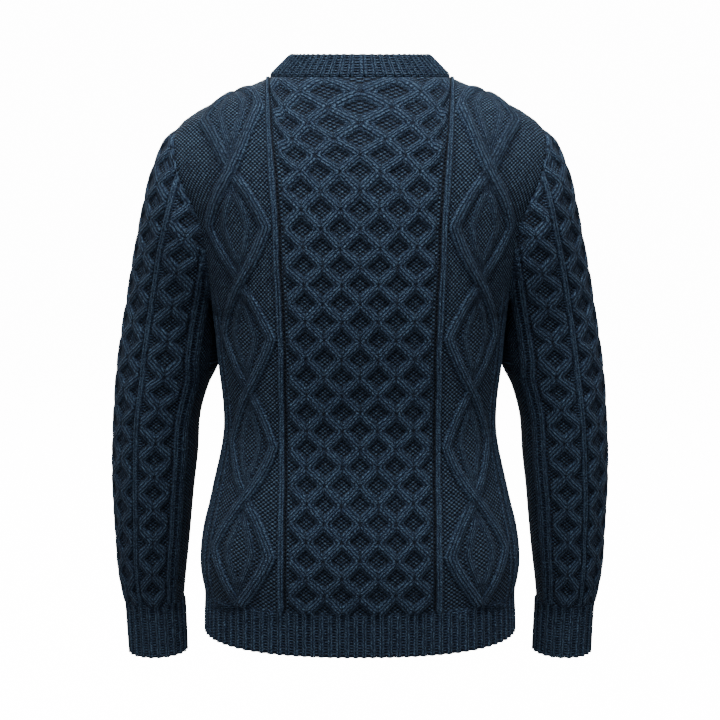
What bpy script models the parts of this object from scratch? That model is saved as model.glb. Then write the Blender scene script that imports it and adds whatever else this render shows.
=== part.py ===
# Aran sweater, filled out as it is worn, with nobody in it.
# Metres, +Z up. The front of the garment faces -Y and its left sleeve is at +X.
# The origin is between the shoulders, at the height of the neckband's seam.
# Five knitted pieces are sewn together: back, front, two sleeves and a neckband.
# The hem rib is knitted in one with the back and the front, a cuff with its sleeve.
# Each piece is a wall: the inside is plain, and the cables and ribs are raised
# in the outer points. Seams have a gap of 0.3 mm.

import math

import bmesh
import bpy
import numpy as np
from mathutils import Vector

MM = 0.001

# Cloth
WALL = 2.2
SEAM_GAP = 0.3
STRAND_HEIGHT = 3.6
CROSS_HEIGHT = 4.2
RIB_LINE_HEIGHT = 3.0
RIB_HEIGHT = 2.4
NOTCH_HEIGHT = 1.7
RING_HEIGHT = 2.4
SIDE_RIB_HEIGHT = 1.8
MOSS_HEIGHT = 0.4

# Body levels, measured down from the neckband's seam
TIP_LEVEL = -57.0
YOKE_LEVEL = -102.0
RIB_LEVEL = -592.0
HEM_LEVEL = -643.0
SECTION_POWER = 2.35

# Neck
NECK_HALF = 102.0
FRONT_NECK_DROP = 75.0
FRONT_NECK_POWER = 1.6
BAND_RISE = 25.0
BAND_TOP_HALF = 77.0
BAND_MIDDLE = -8.0
BAND_LEAN = 0.2
BAND_SHARES = (0.16, 1.0)

# Knitted repeats: a honeycomb cell, and three of them to a diamond
CELL = 41.0
DIAMOND = 3.0 * CELL
ROW = 0.5 * CELL
YOKE_ROWS = 6
YOKE_EASE = 2.2
FRONT_YOKE_GAUGE = 1.1
BODY_ROWS = 24
ARMPIT_ROW = 8
ARMPIT_LEVEL = YOKE_LEVEL + (RIB_LEVEL - YOKE_LEVEL) * ARMPIT_ROW / BODY_ROWS
HEM_RIB_PITCH = 10.3
CUFF_RIB_PITCH = 9.6
BAND_RIB_PITCH = 9.5
RIB_START = 3.0

# Flat layout of half a body panel, from its centre line to the side seam
LINE_AT = 86.0
LINE_SIDES = (5.0, 4.0)
PANEL_EDGE = 222.0
STRAND_STEP = 19.3
STRAND_SWING = 4.95
STRAND_HALF = 4.4
DIAMOND_AT = 131.0
DIAMOND_HALF = 34.0
DIAMOND_STRAND = 5.2
CROSSING_HALF = 2.6
RING_SHARE = 0.46
RING_FROM = 0.3
ROPE_AT = 187.0
ROPE_HALF = 5.5
SIDE_RIB_AT = 208.0
PLAIN_SHARES = (0.12, 0.34, 0.56, 0.78, 1.0)

# Armhole: an oval in side view, whose depth each way is given here
ARMHOLE_BACK = 58.0
ARMHOLE_FRONT = 54.0

# Columns: level, half width of the body below the armpit
BODY_WIDTH = [
    (ARMPIT_LEVEL, 168.0),
    (-290, 165.2),
    (-325, 162.3),
    (-349, 159.5),
    (-373, 157.0),
    (-397, 156.5),
    (-420, 159.0),
    (-444, 164.0),
    (-469, 170.0),
    (-493, 175.5),
    (-517, 181.5),
    (-541, 185.2),
    (-562, 186.0),
    (-580, 184.0),
    (-596, 180.8),
    (-620, 181.5),
    (-643, 182.0),
]

# Columns: level, depth of the back, depth of the front
BODY_DEPTH = [
    (12, 39.0, 30.0),
    (0, 47.0, 38.0),
    (-18, 57.0, 50.0),
    (-35, 66.0, 60.0),
    (-57, 77.0, 71.0),
    (-80, 87.0, 82.0),
    (-102, 94.0, 90.0),
    (-141, 103.0, 100.0),
    (-182, 108.0, 106.5),
    (-223, 110.5, 110.0),
    (-264, 111.5, 111.0),
    (-305, 110.0, 110.0),
    (-350, 106.5, 107.0),
    (-397, 105.0, 106.0),
    (-440, 109.0, 108.0),
    (-490, 117.0, 112.0),
    (-541, 122.5, 116.0),
    (-592, 121.0, 115.0),
    (-643, 122.0, 116.0),
]

# Columns: distance from the middle, height of the shoulder seam
SHOULDER_LINE = [
    (82, 12.0),
    (102, 0.0),
    (124, -9.5),
    (155, -23.0),
    (182, -37.0),
    (199, -48.5),
    (207, -57.0),
]

# Columns: level, distance of the armhole seam from the middle
ARMHOLE_LINE = [
    (-57, 207.0),
    (-72, 208.0),
    (-91, 206.0),
    (-105, 202.5),
    (-119, 197.5),
    (-135, 189.5),
    (-161, 178.0),
    (-196, 172.0),
    (-230, 169.5),
    (ARMPIT_LEVEL, 168.0),
]

# Columns: level, distance of the raised line beside the honeycomb from the middle
LINE_WIDTH = [
    (-102, 97.0),
    (-141, 94.5),
    (-187, 92.0),
    (-242, 90.0),
    (-298, 88.5),
    (-354, 87.5),
    (-410, 87.5),
    (-468, 88.0),
    (-526, 89.0),
    (-592, 89.5),
]

# One row for each section of a sleeve, down from the armhole.
# Columns: distance along its outer line, outer x, outer z, inner x, inner z,
# centre y, half depth
SLEEVE_SECTIONS = [
    (0, 207.0, -57.0, 168.0, ARMPIT_LEVEL, 2.0, 56.0),
    (10, 213.5, -64.5, 169.6, -259.0, 2.0, 57.2),
    (21, 220.5, -73.0, 172.0, -256.0, 1.5, 58.5),
    (46, 231.0, -95.0, 175.0, -257.5, 0.5, 60.0),
    (69, 239.0, -117.0, 175.8, -262.5, -2.0, 60.0),
    (103, 247.0, -150.0, 174.8, -272.5, -6.0, 59.5),
    (139, 255.0, -185.0, 173.0, -284.0, -11.0, 58.5),
    (177, 263.0, -222.0, 171.6, -297.0, -16.0, 57.5),
    (213, 269.5, -257.0, 171.2, -309.0, -20.0, 56.5),
    (248, 276.0, -292.0, 172.0, -322.0, -22.0, 55.5),
    (282, 281.5, -325.0, 175.0, -337.0, -24.0, 54.5),
    (315, 285.5, -358.0, 182.5, -358.0, -26.0, 53.5),
    (351, 288.5, -394.0, 188.5, -393.0, -28.0, 52.5),
    (398, 291.5, -441.0, 192.5, -439.0, -31.0, 51.0),
    (447, 292.0, -490.0, 198.5, -488.0, -34.0, 48.5),
    (495, 290.5, -538.0, 203.5, -536.0, -36.5, 45.0),
    (537, 289.0, -580.0, 208.5, -578.0, -38.5, 41.5),
    (562, 285.5, -605.0, 211.5, -603.0, -39.5, 38.0),
    (580, 282.5, -622.0, 213.0, -621.0, -40.0, 35.5),
    (606, 281.0, -648.0, 212.5, -647.0, -41.0, 34.5),
    (646, 279.5, -688.0, 211.5, -687.0, -42.0, 34.0),
]
CUFF_AT = 580.0
SLEEVE_END = 646.0
FIRST_SLEEVE_RING = 9.0
FIRST_RING_RELIEF = 0.3
DENSE_INNER_RINGS = 8
SLEEVE_WAY = (1.0, 0.0, 0.45)

# Sleeve pattern, in degrees round from the outer line
SLEEVE_STRANDS = (10.8, 32.5, 54.2)
SLEEVE_SWING = 5.6
SLEEVE_STRAND_HALF = 4.8
SLEEVE_LINES = (68.0, 122.5)
SLEEVE_LINE_HALF = 3.5
SINGLE_STRANDS = (83.0, 106.0)
SLEEVE_ROPE = 137.0
SLEEVE_ROPE_SIDES = (5.0, 6.0)
UNDERARM_AT = 161.0
PLAIN_TURN = 20.0

NAVY = (0.022, 0.041, 0.078)


def curve(table, column, at):
    """A smooth line through one column of a table, read at one place."""
    rows = sorted((row[0], row[column]) for row in table)
    xs = [row[0] for row in rows]
    ys = [row[1] for row in rows]
    at = min(max(at, xs[0]), xs[-1])
    i = min(max(int(np.searchsorted(xs, at)) - 1, 0), len(xs) - 2)
    span = xs[i + 1] - xs[i]

    def slope(k):
        low = max(k - 1, 0)
        high = min(k + 1, len(xs) - 1)
        return (ys[high] - ys[low]) / (xs[high] - xs[low])

    t = (at - xs[i]) / span
    h00 = (1 + 2 * t) * (1 - t) ** 2
    h10 = t * (1 - t) ** 2
    h01 = t * t * (3 - 2 * t)
    h11 = t * t * (t - 1)
    return h00 * ys[i] + h10 * span * slope(i) + h01 * ys[i + 1] + h11 * span * slope(i + 1)


def line(table, column, at, key=0):
    """A straight-sided line through one column of a table."""
    rows = sorted((row[key], row[column]) for row in table)
    return float(np.interp(at, [row[0] for row in rows], [row[1] for row in rows]))


def depth(side, z):
    return curve(BODY_DEPTH, 1 if side > 0 else 2, z)


def armhole_depth(side, z):
    """How far the armhole seam lies behind or before the shoulder line."""
    middle = 0.5 * (TIP_LEVEL + ARMPIT_LEVEL)
    half = 0.5 * (TIP_LEVEL - ARMPIT_LEVEL)
    reach = ARMHOLE_BACK if side > 0 else ARMHOLE_FRONT
    return reach * math.sqrt(max(0.0, 1.0 - ((z - middle) / half) ** 2))


def edge_x(z):
    """The distance of a panel's edge from the middle at one level."""
    if z > TIP_LEVEL:
        return line(SHOULDER_LINE, 0, z, key=1)
    if z > ARMPIT_LEVEL:
        return curve(ARMHOLE_LINE, 1, z)
    return curve(BODY_WIDTH, 1, z)


def section_half(side, z):
    """Half the width of the whole oval section that a panel is part of."""
    if TIP_LEVEL > z > ARMPIT_LEVEL:
        share = armhole_depth(side, z) / depth(side, z)
        return edge_x(z) / (1.0 - share ** SECTION_POWER) ** (1.0 / SECTION_POWER)
    return edge_x(z)


def body_point(side, x, z):
    """The point of the cloth's ground at one distance and level."""
    share = min(abs(x) / section_half(side, z), 1.0)
    y = depth(side, z) * (1.0 - share ** SECTION_POWER) ** (1.0 / SECTION_POWER)
    return Vector((x, side * max(y, 0.5 * SEAM_GAP), z))


def body_normal(side, point):
    """The direction out of the cloth, from the slope of the oval sections."""
    def field(x, y, z):
        across = (abs(x) / section_half(side, z)) ** SECTION_POWER
        return across + (abs(y) / depth(side, z)) ** SECTION_POWER

    x, y, z = point
    step = 0.5
    y = y if abs(y) > step else 0.0
    dx = field(x + step, y, z) - field(x - step, y, z)
    dy = field(x, y + step, z) - field(x, y - step, z)
    dz = field(x, y, z + step) - field(x, y, z - step)
    return Vector((dx, dy, dz)).normalized()


def section_table(side, z):
    """Distances along the cloth and the x of each, from the middle to the edge."""
    half = section_half(side, z)
    share = min(edge_x(z) / half, 1.0)
    last = math.asin(share ** (0.5 * SECTION_POWER))
    xs = []
    ys = []
    for k in range(61):
        t = last * k / 60
        xs.append(half * math.sin(t) ** (2 / SECTION_POWER))
        ys.append(depth(side, z) * max(math.cos(t), 0.0) ** (2 / SECTION_POWER))
    steps = np.hypot(np.diff(xs), np.diff(ys))
    return np.concatenate([[0.0], np.cumsum(steps)]), np.array(xs)


def place_across(side, z, flat):
    """The x of a place in the flat layout, at a level below the yoke."""
    lengths, xs = section_table(side, z)
    at_line = line(LINE_WIDTH, 1, z)
    if flat <= LINE_AT:
        along = flat * at_line / LINE_AT
    else:
        share = (flat - LINE_AT) / (PANEL_EDGE - LINE_AT)
        along = at_line + share * (lengths[-1] - at_line)
    return float(np.interp(along, lengths, xs))


def top_place(side, flat):
    """The x and z where a place in the flat layout meets the neck or shoulder seam."""
    if flat <= LINE_AT:
        turn = 0.5 * math.pi * flat / LINE_AT
        if side > 0:
            return NECK_HALF * math.sin(turn) ** (2 / SECTION_POWER), 0.0
        x = NECK_HALF * math.sin(turn) ** (2 / FRONT_NECK_POWER)
        drop = FRONT_NECK_DROP * max(math.cos(turn), 0.0) ** (2 / FRONT_NECK_POWER)
        return x, -drop
    share = (flat - LINE_AT) / (PANEL_EDGE - LINE_AT)
    x = NECK_HALF + share * (edge_x(TIP_LEVEL) - NECK_HALF)
    return x, line(SHOULDER_LINE, 1, x)


def yoke_blend(flat):
    """0 under the neck, 1 under the shoulder seam."""
    return min(max((flat - 0.75 * LINE_AT) / (0.5 * LINE_AT), 0.0), 1.0)


def yoke_share(flat, row):
    """How far up the yoke a row has come at one place."""
    even = row / YOKE_ROWS
    rounded = 1.0 - (1.0 - even) ** YOKE_EASE
    blend = yoke_blend(flat)
    return (1.0 - blend) * even + blend * rounded


def yoke_place(side, flat, row):
    """The x and z of a place on one row of the yoke."""
    start_x = place_across(side, YOKE_LEVEL, flat)
    end_x, end_z = top_place(side, flat)
    share = yoke_share(flat, row)
    z = YOKE_LEVEL + share * (end_z - YOKE_LEVEL)
    x = start_x + share * (end_x - start_x)
    if z < TIP_LEVEL:
        straight = edge_x(YOKE_LEVEL)
        straight += share * (edge_x(TIP_LEVEL) - straight)
        weight = max(0.0, (flat - LINE_AT) / (PANEL_EDGE - LINE_AT)) ** 3
        x += weight * (edge_x(z) - straight)
    return min(x, edge_x(z)), z


def wave(distance, period):
    """A straight-sided wave: 1 at each whole period, -1 half way."""
    part = (distance / period) % 1.0
    return abs(4.0 * part - 2.0) - 1.0


def diamond_columns(knit):
    """Places and heights of the columns that follow one diamond's strands."""
    spread = 0.5 * (1.0 - wave(knit + CELL, DIAMOND))
    half = CROSSING_HALF + (DIAMOND_HALF - CROSSING_HALF) * spread
    crossing = max(0.0, 1.0 - 3.0 * spread)
    ring = RING_SHARE * half
    ring_height = RING_HEIGHT if spread > RING_FROM else 2.0 * MOSS_HEIGHT
    ring_height = max(crossing * CROSS_HEIGHT, ring_height)
    columns = [
        (DIAMOND_AT - half - DIAMOND_STRAND, 0.0),
        (DIAMOND_AT - half, STRAND_HEIGHT),
        (DIAMOND_AT - ring, ring_height),
        (DIAMOND_AT, crossing * CROSS_HEIGHT + (1.0 - crossing) * MOSS_HEIGHT),
    ]
    mirrored = [(2 * DIAMOND_AT - at, height) for at, height in columns[:3]]
    return columns + mirrored[::-1]


def honeycomb_columns(centres, most, half, swing):
    """Places and heights of the strands that sway apart and together.

    The first strand sways away from a valley at 0, and its neighbour toward it."""
    columns = [(0.0, NOTCH_HEIGHT * max(0.0, -swing))]
    swayed = [at + most * swing * (-1) ** m for m, at in enumerate(centres)]
    for m, at in enumerate(swayed):
        columns.append((at, STRAND_HEIGHT))
        if m + 1 < len(swayed):
            together = max(0.0, swing * (-1) ** m)
            columns.append((0.5 * (at + swayed[m + 1]), NOTCH_HEIGHT * together))
    columns.append((swayed[-1] + half, 0.0))
    return columns


def body_columns(knit):
    """Places and heights across half a body panel, for one place along the knitting."""
    strands = [STRAND_STEP * (m + 0.5) for m in range(4)]
    columns = honeycomb_columns(strands, STRAND_SWING, STRAND_HALF, wave(knit, CELL))
    columns.append((LINE_AT - LINE_SIDES[0], 0.0))
    columns.append((LINE_AT, RIB_LINE_HEIGHT))
    columns.append((LINE_AT + LINE_SIDES[1], 0.5 * MOSS_HEIGHT))
    strands = diamond_columns(knit)
    columns.extend(strands)
    columns.append((0.5 * (ROPE_AT - ROPE_HALF + strands[-1][0]), 0.0))
    columns.append((ROPE_AT - ROPE_HALF, 0.25 * MOSS_HEIGHT))
    columns.append((ROPE_AT, RIB_LINE_HEIGHT))
    columns.append((ROPE_AT + ROPE_HALF, 0.25 * MOSS_HEIGHT))
    columns.append((SIDE_RIB_AT, SIDE_RIB_HEIGHT))
    columns.append((PANEL_EDGE, 0.0))
    return columns


def flat_columns(columns):
    """The same places with nothing raised."""
    return [(at, 0.0) for at, height in columns]


def plain_columns():
    """Places across half of a panel's plain inside."""
    under_neck = [0.0, 0.5 * LINE_AT, LINE_AT]
    outside = [LINE_AT + share * (PANEL_EDGE - LINE_AT) for share in PLAIN_SHARES]
    return [(at, 0.0) for at in under_neck + outside]


def set_out(side, x, z, out):
    """A point of the body's cloth, moved out of its ground."""
    ground = body_point(side, x, z)
    return ground + body_normal(side, ground) * out


def panel_row(side, columns, locate, base):
    """One full row of a panel, from its right edge to its left edge."""
    half = []
    for flat, height in columns:
        x, z = locate(flat)
        half.append(set_out(side, x, z, base + height))
    mirrored = [Vector((-p.x, p.y, p.z)) for p in half]
    if columns[0][0] == 0.0:
        mirrored = mirrored[1:]
    return mirrored[::-1] + half


def knit_rows():
    """Places along the knitting from the hem rib up to the yoke, with their levels."""
    rows = []
    for k in range(BODY_ROWS, 0, -1):
        knit = -CELL + ROW * k
        z = YOKE_LEVEL + (RIB_LEVEL - YOKE_LEVEL) * k / BODY_ROWS
        rows.append((knit, z))
        if k == ARMPIT_ROW:
            rows.append((knit - 0.25 * ROW, z + 0.25 * ROW))
    return rows


def rib_columns(side):
    """Places and heights of the ribs across half of the hem."""
    length = section_table(side, HEM_LEVEL)[0][-1]
    count = int(round(2 * length / HEM_RIB_PITCH))
    return [(PANEL_EDGE * k / count, RIB_HEIGHT * (k % 2)) for k in range(count)] + [(PANEL_EDGE, 0.0)]


def yoke_knit(side, flat, row):
    """The place along the knitting at one place of a yoke row."""
    by_row = -CELL - ROW * row
    if side > 0:
        return by_row
    z = yoke_place(side, flat, row)[1]
    by_level = -CELL - (z - YOKE_LEVEL) * FRONT_YOKE_GAUGE
    blend = yoke_blend(flat)
    return (1.0 - blend) * by_level + blend * by_row


def yoke_columns(side, row):
    """Places and heights across half of a yoke row."""
    count = len(body_columns(0.0))
    columns = []
    for k in range(count):
        flat = body_columns(-CELL)[k][0]
        at, height = body_columns(yoke_knit(side, flat, row))[k]
        columns.append((at, height))
    if row == YOKE_ROWS:
        columns = [(body_columns(-CELL)[k][0], 0.0) for k in range(count)]
    return columns


def panel_rows(side):
    """The outer rows and the plain inner rows of a body panel, from the hem up."""
    def level(z):
        return lambda flat: (place_across(side, z, flat), z)

    def yoke(row):
        return lambda flat: yoke_place(side, flat, row)

    ribs = rib_columns(side)
    plain = plain_columns()
    outer = []
    inner = [panel_row(side, flat_columns(ribs), level(HEM_LEVEL), -WALL)]
    for z in (HEM_LEVEL, 0.5 * (HEM_LEVEL + RIB_LEVEL), RIB_LEVEL - RIB_START):
        outer.append(panel_row(side, ribs, level(z), 0.0))
        if z > HEM_LEVEL:
            inner.append(panel_row(side, plain, level(z), -WALL))
    for knit, z in knit_rows():
        outer.append(panel_row(side, body_columns(knit), level(z), 0.0))
        inner.append(panel_row(side, plain, level(z), -WALL))
    for row in range(YOKE_ROWS + 1):
        columns = yoke_columns(side, row)
        outer.append(panel_row(side, columns, yoke(row), 0.0))
        if row < YOKE_ROWS - 1:
            columns = plain
        inner.append(panel_row(side, flat_columns(columns), yoke(row), -WALL))
    return outer, inner


class Wall:
    """Gathers the points and faces of one knitted piece."""

    def __init__(self):
        self.points = []
        self.faces = []

    def chain(self, points):
        start = len(self.points)
        self.points.extend(points)
        return list(range(start, start + len(points)))

    def join(self, first, second, closed=False, rim=False):
        """Fills the strip between two chains, by the shorter way across each time.

        A rim has all its diagonals one way, so that two sewn edges lie alike."""
        if closed:
            first = first + first[:1]
            second = second + second[:1]
        if len(first) == len(second):
            for k in range(len(first) - 1):
                one = self.across(first[k], second[k + 1])
                other = self.across(first[k + 1], second[k])
                if rim or other <= one:
                    self.faces.append((first[k], first[k + 1], second[k]))
                    self.faces.append((first[k + 1], second[k + 1], second[k]))
                else:
                    self.faces.append((first[k], first[k + 1], second[k + 1]))
                    self.faces.append((first[k], second[k + 1], second[k]))
            return
        i = 0
        j = 0
        while i < len(first) - 1 or j < len(second) - 1:
            step_first = j == len(second) - 1
            if i < len(first) - 1 and j < len(second) - 1:
                ahead = self.across(first[i + 1], second[j])
                step_first = ahead <= self.across(first[i], second[j + 1])
            if step_first:
                self.faces.append((first[i], first[i + 1], second[j]))
                i += 1
            else:
                self.faces.append((first[i], second[j + 1], second[j]))
                j += 1

    def across(self, one, other):
        return (self.points[one] - self.points[other]).length

    def build(self, name, mirror=False):
        """Makes the object, with its faces pointing out."""
        sign = -1.0 if mirror else 1.0
        mesh = bpy.data.meshes.new(name)
        places = [(sign * p.x * MM, p.y * MM, p.z * MM) for p in self.points]
        mesh.from_pydata(places, [], self.faces)
        knit = bmesh.new()
        knit.from_mesh(mesh)
        bmesh.ops.recalc_face_normals(knit, faces=knit.faces)
        if knit.calc_volume(signed=True) < 0:
            bmesh.ops.reverse_faces(knit, faces=knit.faces)
        knit.to_mesh(mesh)
        knit.free()
        mesh.shade_smooth()
        mesh.set_sharp_from_angle(angle=math.radians(18))
        piece = bpy.data.objects.new(name, mesh)
        bpy.context.scene.collection.objects.link(piece)
        mesh.materials.append(wool(name))
        return piece


def wool(name):
    """Soft heathered wool."""
    material = bpy.data.materials.new("wool_" + name)
    material.use_nodes = True
    shader = material.node_tree.nodes["Principled BSDF"]
    shader.inputs["Base Color"].default_value = (*NAVY, 1.0)
    shader.inputs["Roughness"].default_value = 0.95
    shader.inputs["Metallic"].default_value = 0.0
    return material


def make_panel(name, side):
    """The back or the front, with its hem rib."""
    outer, inner = panel_rows(side)
    wall = Wall()
    outer_rows = [wall.chain(row) for row in outer]
    inner_rows = [wall.chain(row) for row in inner]
    for rows, turn in ((outer_rows, 1), (inner_rows, -1)):
        for low, high in zip(rows, rows[1:]):
            wall.join(low[::turn], high[::turn])
    wall.join(inner_rows[0], outer_rows[0])
    edges = [(outer_rows[-1], inner_rows[-1])]
    for end in (0, -1):
        edges.append(([row[end] for row in outer_rows], [row[end] for row in inner_rows]))
    for outer_edge, inner_edge in edges:
        if side > 0:
            wall.join(outer_edge, inner_edge, rim=True)
        else:
            wall.join(inner_edge, outer_edge, rim=True)
    return wall.build(name)


def seam_ring(grounds, outward):
    """A closed seam, moved one gap away from the edge it is sewn to.

    Each ground is a point and the direction out of the cloth there. The result
    is the ring's outer points and its inner points."""
    outer = []
    inner = []
    count = len(grounds)
    for k in range(count):
        before = grounds[k - 1][0]
        after = grounds[(k + 1) % count][0]
        point, out = grounds[k]
        away = (after - before).normalized().cross(out).normalized()
        if away.dot(outward(point)) < 0:
            away.negate()
        moved = point + away * SEAM_GAP
        outer.append(moved)
        inner.append(moved - out * WALL)
    return outer, inner


def armhole_grounds():
    """The armhole's edge, from the shoulder tip down the back and up the front."""
    halves = []
    for side in (1, -1):
        places = []
        for row in range(YOKE_ROWS, -1, -1):
            places.append(yoke_place(side, PANEL_EDGE, row))
        for knit, z in reversed(knit_rows()):
            if z > ARMPIT_LEVEL - 1.0:
                places.append((edge_x(z), z))
        grounds = []
        for x, z in places:
            point = body_point(side, x, z)
            grounds.append((point, body_normal(side, point)))
        halves.append(grounds)
    return halves[0] + halves[1][::-1]


def sleeve_point(at, turn):
    """The ground of a sleeve's cloth, at a distance down it and a turn round it."""
    outer_x, outer_z, inner_x, inner_z, middle, half = (
        curve(SLEEVE_SECTIONS, column, at) for column in range(1, 7)
    )
    across = math.cos(turn)
    x = 0.5 * (outer_x + inner_x) + 0.5 * (outer_x - inner_x) * across
    z = 0.5 * (outer_z + inner_z) + 0.5 * (outer_z - inner_z) * across
    return Vector((x, middle + half * math.sin(turn), z))


def sleeve_out(at, turn, out):
    """A point of the sleeve's cloth, moved out of its ground."""
    step = 0.02
    round_it = sleeve_point(at, turn + step) - sleeve_point(at, turn - step)
    down_it = sleeve_point(min(at + 2.0, SLEEVE_END), turn) - sleeve_point(at - 2.0, turn)
    normal = down_it.cross(round_it).normalized()
    if normal.dot(sleeve_point(at, turn) - sleeve_point(at, turn + math.pi)) < 0:
        normal.negate()
    return sleeve_point(at, turn) + normal * out


def sleeve_columns(knit):
    """Turns and heights round half a sleeve, for one place along the knitting."""
    swing = wave(knit, CELL)
    columns = honeycomb_columns(SLEEVE_STRANDS, SLEEVE_SWING, SLEEVE_STRAND_HALF, swing)
    columns.append((SLEEVE_LINES[0], RIB_LINE_HEIGHT))
    near, far = SINGLE_STRANDS
    near += SLEEVE_SWING * swing
    far -= SLEEVE_SWING * swing
    columns.append((near - SLEEVE_STRAND_HALF, 0.0))
    columns.append((near, STRAND_HEIGHT))
    columns.append((0.5 * (near + far), NOTCH_HEIGHT * max(0.0, swing)))
    columns.append((far, STRAND_HEIGHT))
    columns.append((far + SLEEVE_STRAND_HALF, 0.0))
    columns.append((SLEEVE_LINES[1], RIB_LINE_HEIGHT))
    columns.append((SLEEVE_LINES[1] + SLEEVE_LINE_HALF, 0.0))
    columns.append((SLEEVE_ROPE - SLEEVE_ROPE_SIDES[0], 0.0))
    columns.append((SLEEVE_ROPE, RIB_LINE_HEIGHT))
    columns.append((SLEEVE_ROPE + SLEEVE_ROPE_SIDES[1], 0.0))
    columns.append((UNDERARM_AT, 0.0))
    columns.append((180.0, 0.0))
    return columns


def sleeve_ring(at, columns, base, fade=1.0):
    """One full ring of a sleeve, from the outer line round the back."""
    half = [(math.radians(turn), height) for turn, height in columns]
    ring = [sleeve_out(at, turn, base + fade * height) for turn, height in half]
    front = half[:-1][::-1]
    if half[0][0] == 0.0:
        front = front[:-1]
    ring += [sleeve_out(at, -turn, base + fade * height) for turn, height in front]
    return ring


def cuff_columns():
    """Turns and heights of the ribs round half a cuff."""
    middle = 0.5 * (CUFF_AT + SLEEVE_END)
    turns = [math.pi * k / 40 for k in range(81)]
    ring = [sleeve_point(middle, turn) for turn in turns]
    length = sum((b - a).length for a, b in zip(ring, ring[1:]))
    count = int(round(length / CUFF_RIB_PITCH))
    return [(180.0 * k / count, RIB_HEIGHT * ((k + 1) % 2)) for k in range(count + 1)]


def make_sleeve(name, mirror):
    """A set-in sleeve with its cuff."""
    edge = armhole_grounds()
    seam_outer, seam_inner = seam_ring(edge, lambda point: Vector(SLEEVE_WAY))
    outer = [seam_outer]
    inner = [seam_inner]
    plain = [(PLAIN_TURN * k, 0.0) for k in range(int(180.0 / PLAIN_TURN) + 1)]
    rows = int(round((CUFF_AT - FIRST_SLEEVE_RING) / ROW))
    for k in range(rows + 1):
        at = FIRST_SLEEVE_RING + (CUFF_AT - FIRST_SLEEVE_RING) * k / rows
        fade = FIRST_RING_RELIEF if k == 0 else 1.0
        outer.append(sleeve_ring(at, sleeve_columns(ROW * k), 0.0, fade))
        if k % 2 == 0 or k < DENSE_INNER_RINGS:
            inner.append(sleeve_ring(at, plain, -WALL))
    ribs = cuff_columns()
    outer.append(sleeve_ring(CUFF_AT + RIB_START, ribs, 0.0))
    outer.append(sleeve_ring(SLEEVE_END, ribs, 0.0))
    inner.append(sleeve_ring(0.5 * (CUFF_AT + SLEEVE_END), plain, -WALL))
    inner.append(sleeve_ring(SLEEVE_END, flat_columns(ribs), -WALL))
    wall = Wall()
    outer_rings = [wall.chain(ring) for ring in outer]
    inner_rings = [wall.chain(ring) for ring in inner]
    for low, high in zip(outer_rings, outer_rings[1:]):
        wall.join(low, high, closed=True)
    for low, high in zip(inner_rings, inner_rings[1:]):
        wall.join(low[::-1], high[::-1], closed=True)
    wall.join(inner_rings[0], outer_rings[0], closed=True, rim=True)
    wall.join(outer_rings[-1], inner_rings[-1], closed=True)
    return wall.build(name, mirror)


def neck_grounds():
    """The neck edge of the panels, from the left round the back and the front."""
    grounds = []
    for side in (1, -1):
        columns = yoke_columns(side, YOKE_ROWS)
        flats = [flat for flat, height in columns if flat <= LINE_AT]
        places = [top_place(side, flat) for flat in flats]
        mirrored = [(-x, z) for x, z in places if x > 0.0]
        row = places[::-1] + mirrored if side > 0 else mirrored[::-1] + places
        for x, z in row:
            point = body_point(side, x, z)
            grounds.append((point, body_normal(side, point)))
    return grounds


def band_point(share, turn, up):
    """The ground of the neckband: a turn round it and a share of its rise."""
    side = 1 if math.sin(turn) >= 0 else -1
    flat = LINE_AT * abs(1.0 - 2.0 * ((turn / math.pi) % 1.0))
    x, z = top_place(side, flat)
    if (turn / math.pi) % 2.0 > 0.5 and (turn / math.pi) % 2.0 < 1.5:
        x = -x
    ground = body_point(side, x, z)
    narrow = 1.0 - share * (1.0 - BAND_TOP_HALF / NECK_HALF)
    lean = 1.0 - share * BAND_LEAN
    return Vector((ground.x * narrow, BAND_MIDDLE + (ground.y - BAND_MIDDLE) * lean, z + up))


def band_ring(share, count, height, base):
    """One ring of the neckband, with or without its ribs."""
    step = 0.004
    ring = []
    for k in range(count):
        turn = 2.0 * math.pi * (k + 0.5) / count
        point = band_point(share, turn, share * BAND_RISE)
        round_it = band_point(share, turn + step, share * BAND_RISE)
        round_it = round_it - band_point(share, turn - step, share * BAND_RISE)
        up_it = band_point(share + 0.1, turn, (share + 0.1) * BAND_RISE) - point
        normal = round_it.cross(up_it).normalized()
        ring.append(point + normal * (base + height * (k % 2)))
    return ring


def make_neckband(name):
    """The ribbed band round the neck."""
    def inward_and_up(point):
        return Vector((-point.x, -point.y, NECK_HALF))

    edge = neck_grounds()
    seam_outer, seam_inner = seam_ring(edge, inward_and_up)
    length = sum((b[0] - a[0]).length for a, b in zip(edge, edge[1:]))
    ribs = 2 * int(round(length / BAND_RIB_PITCH))
    wall = Wall()
    outer = [wall.chain(seam_outer)]
    inner = [wall.chain(seam_inner)]
    for share in BAND_SHARES:
        outer.append(wall.chain(band_ring(share, ribs, RIB_HEIGHT, 0.0)))
        inner.append(wall.chain(band_ring(share, ribs, 0.0, -WALL)))
    for low, high in zip(outer, outer[1:]):
        wall.join(low, high, closed=True)
    for low, high in zip(inner, inner[1:]):
        wall.join(low[::-1], high[::-1], closed=True)
    wall.join(inner[0], outer[0], closed=True, rim=True)
    wall.join(outer[-1], inner[-1], closed=True)
    return wall.build(name)


def main():
    for old in list(bpy.data.objects):
        bpy.data.objects.remove(old, do_unlink=True)
    make_panel("back", 1)
    make_panel("front", -1)
    make_sleeve("sleeve_left", False)
    make_sleeve("sleeve_right", True)
    make_neckband("neckband")


main()
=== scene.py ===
import math

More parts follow.
